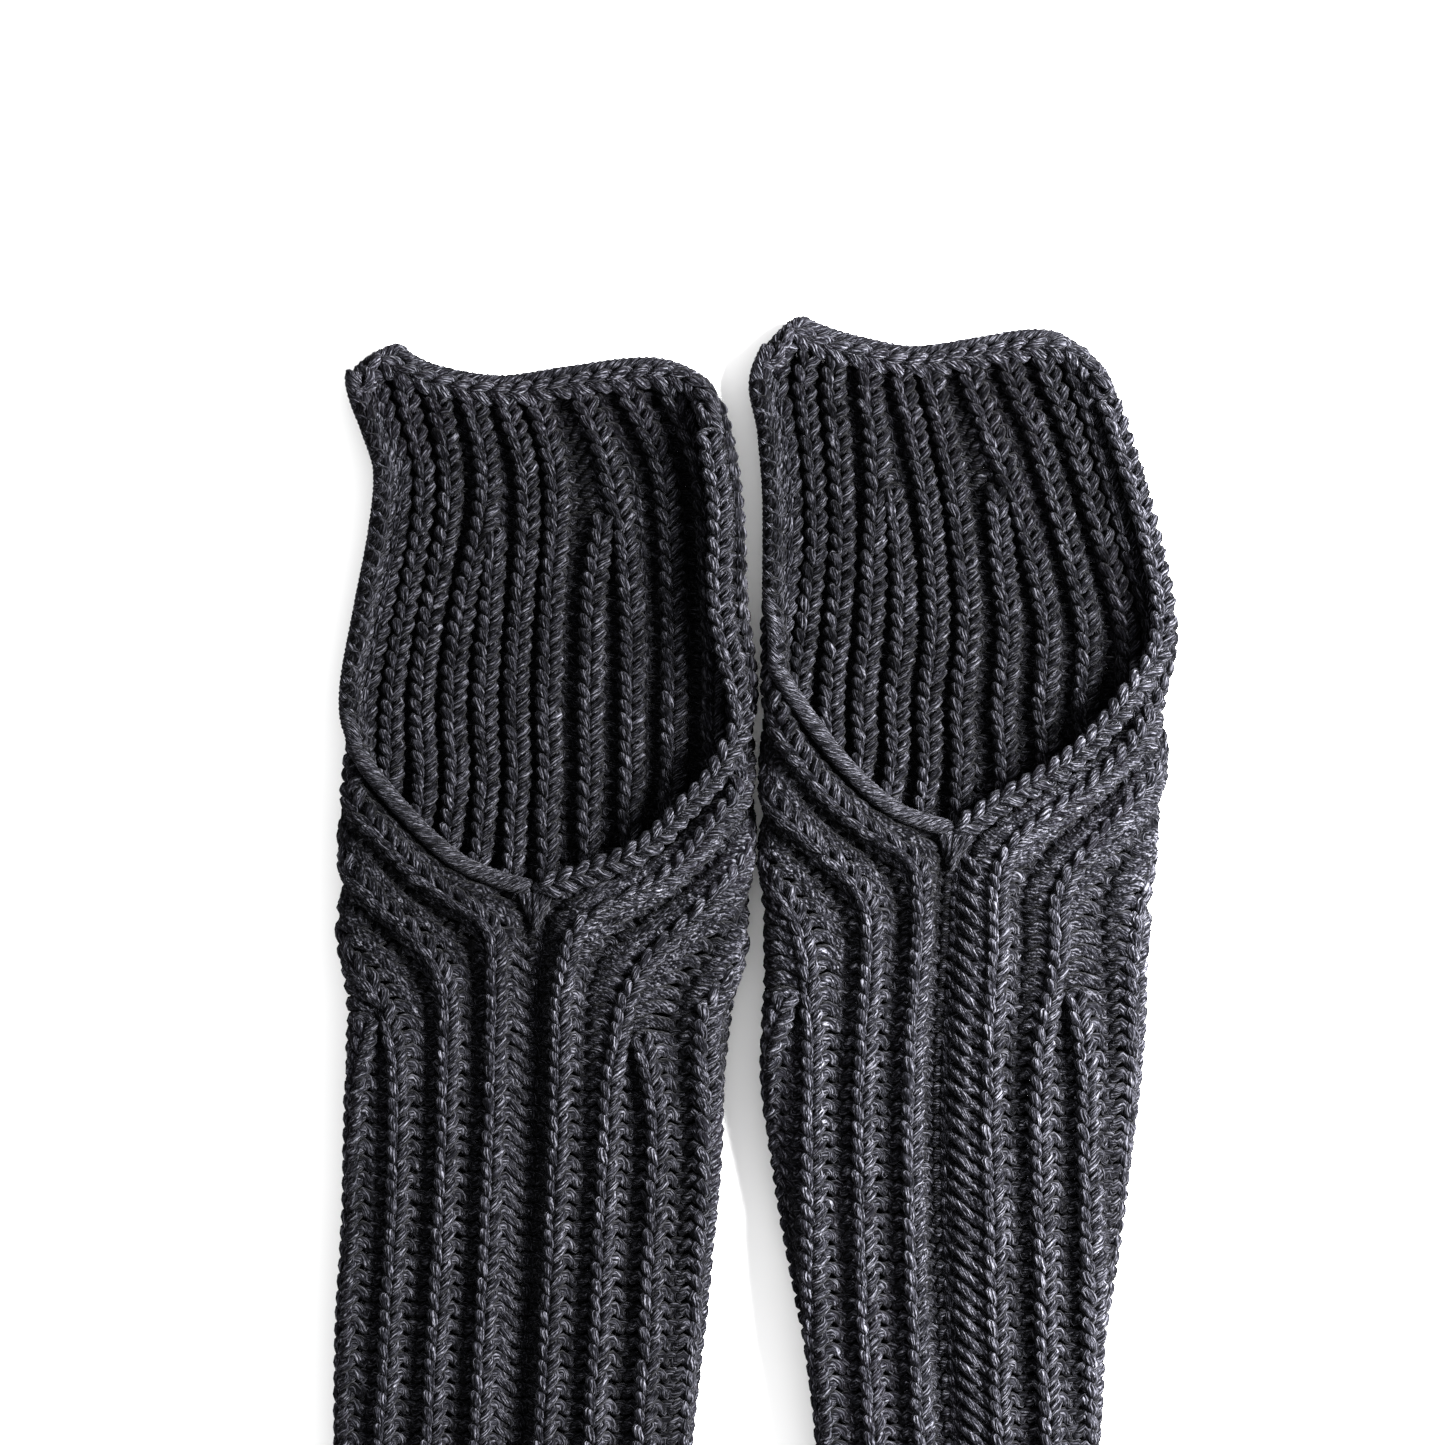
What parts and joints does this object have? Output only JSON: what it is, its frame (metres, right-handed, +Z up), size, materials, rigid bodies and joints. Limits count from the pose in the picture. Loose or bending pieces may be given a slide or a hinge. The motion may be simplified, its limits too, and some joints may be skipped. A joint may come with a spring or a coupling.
{
  "type": "pair of fingerless gloves",
  "caption": "Long rib-knitted fingerless gloves laid flat, each a seamed arm tube opening in a V to a folding hand panel with corded edges.",
  "frame": {"origin": "centre of the underside of the pair's bounding box, on the surface the gloves lie on", "axes": "+Y along the gloves from the arm hems to the finger edges, +Z up out of the surface, +X towards the right glove"},
  "size_m": [0.2208, 0.3531, 0.02],
  "materials": {
    "left_rib_knit": "chunky one by one rib in charcoal heather wool, matt with pale fibres",
    "left_edge_yarn": "plied charcoal heather yarn, matt",
    "right_rib_knit": "chunky one by one rib in charcoal heather wool, matt with pale fibres",
    "right_edge_yarn": "plied charcoal heather yarn, matt"
  },
  "bodies": {
    "left_sleeve": {"left_glove_sleeve": "left_rib_knit", "left_glove_cast_on_hem": "left_rib_knit", "left_glove_front_seam_yarn": "left_edge_yarn"},
    "left_hand_flap": {"left_glove_hand_panel": "left_rib_knit", "left_glove_left_slit_cord": "left_edge_yarn", "left_glove_right_slit_cord": "left_edge_yarn", "left_glove_bind_off_chain": "left_edge_yarn", "left_glove_top_cord": "left_edge_yarn", "left_glove_yarn_end": "left_edge_yarn"},
    "right_sleeve": {"right_glove_sleeve": "right_rib_knit", "right_glove_cast_on_hem": "right_rib_knit", "right_glove_front_seam_yarn": "right_edge_yarn"},
    "right_hand_flap": {"right_glove_hand_panel": "right_rib_knit", "right_glove_left_slit_cord": "right_edge_yarn", "right_glove_right_slit_cord": "right_edge_yarn", "right_glove_bind_off_chain": "right_edge_yarn", "right_glove_top_cord": "right_edge_yarn", "right_glove_yarn_end": "right_edge_yarn"}
  },
  "joints": [
    {"name": "left_flap_fold", "type": "hinge", "parent": "left_sleeve", "child": "left_hand_flap", "pos_m": [-0.058, 0.02, 0.02], "axis": [1, 0, 0], "range_deg": [0, 165]},
    {"name": "right_glove_slide", "type": "slide", "parent": "left_sleeve", "child": "right_sleeve", "axis": [1, 0, 0], "range_m": [0, 0.08]},
    {"name": "right_flap_fold", "type": "hinge", "parent": "right_sleeve", "child": "right_hand_flap", "pos_m": [0.051, 0.035, 0.02], "axis": [1, 0, 0], "range_deg": [0, 165]}
  ]
}
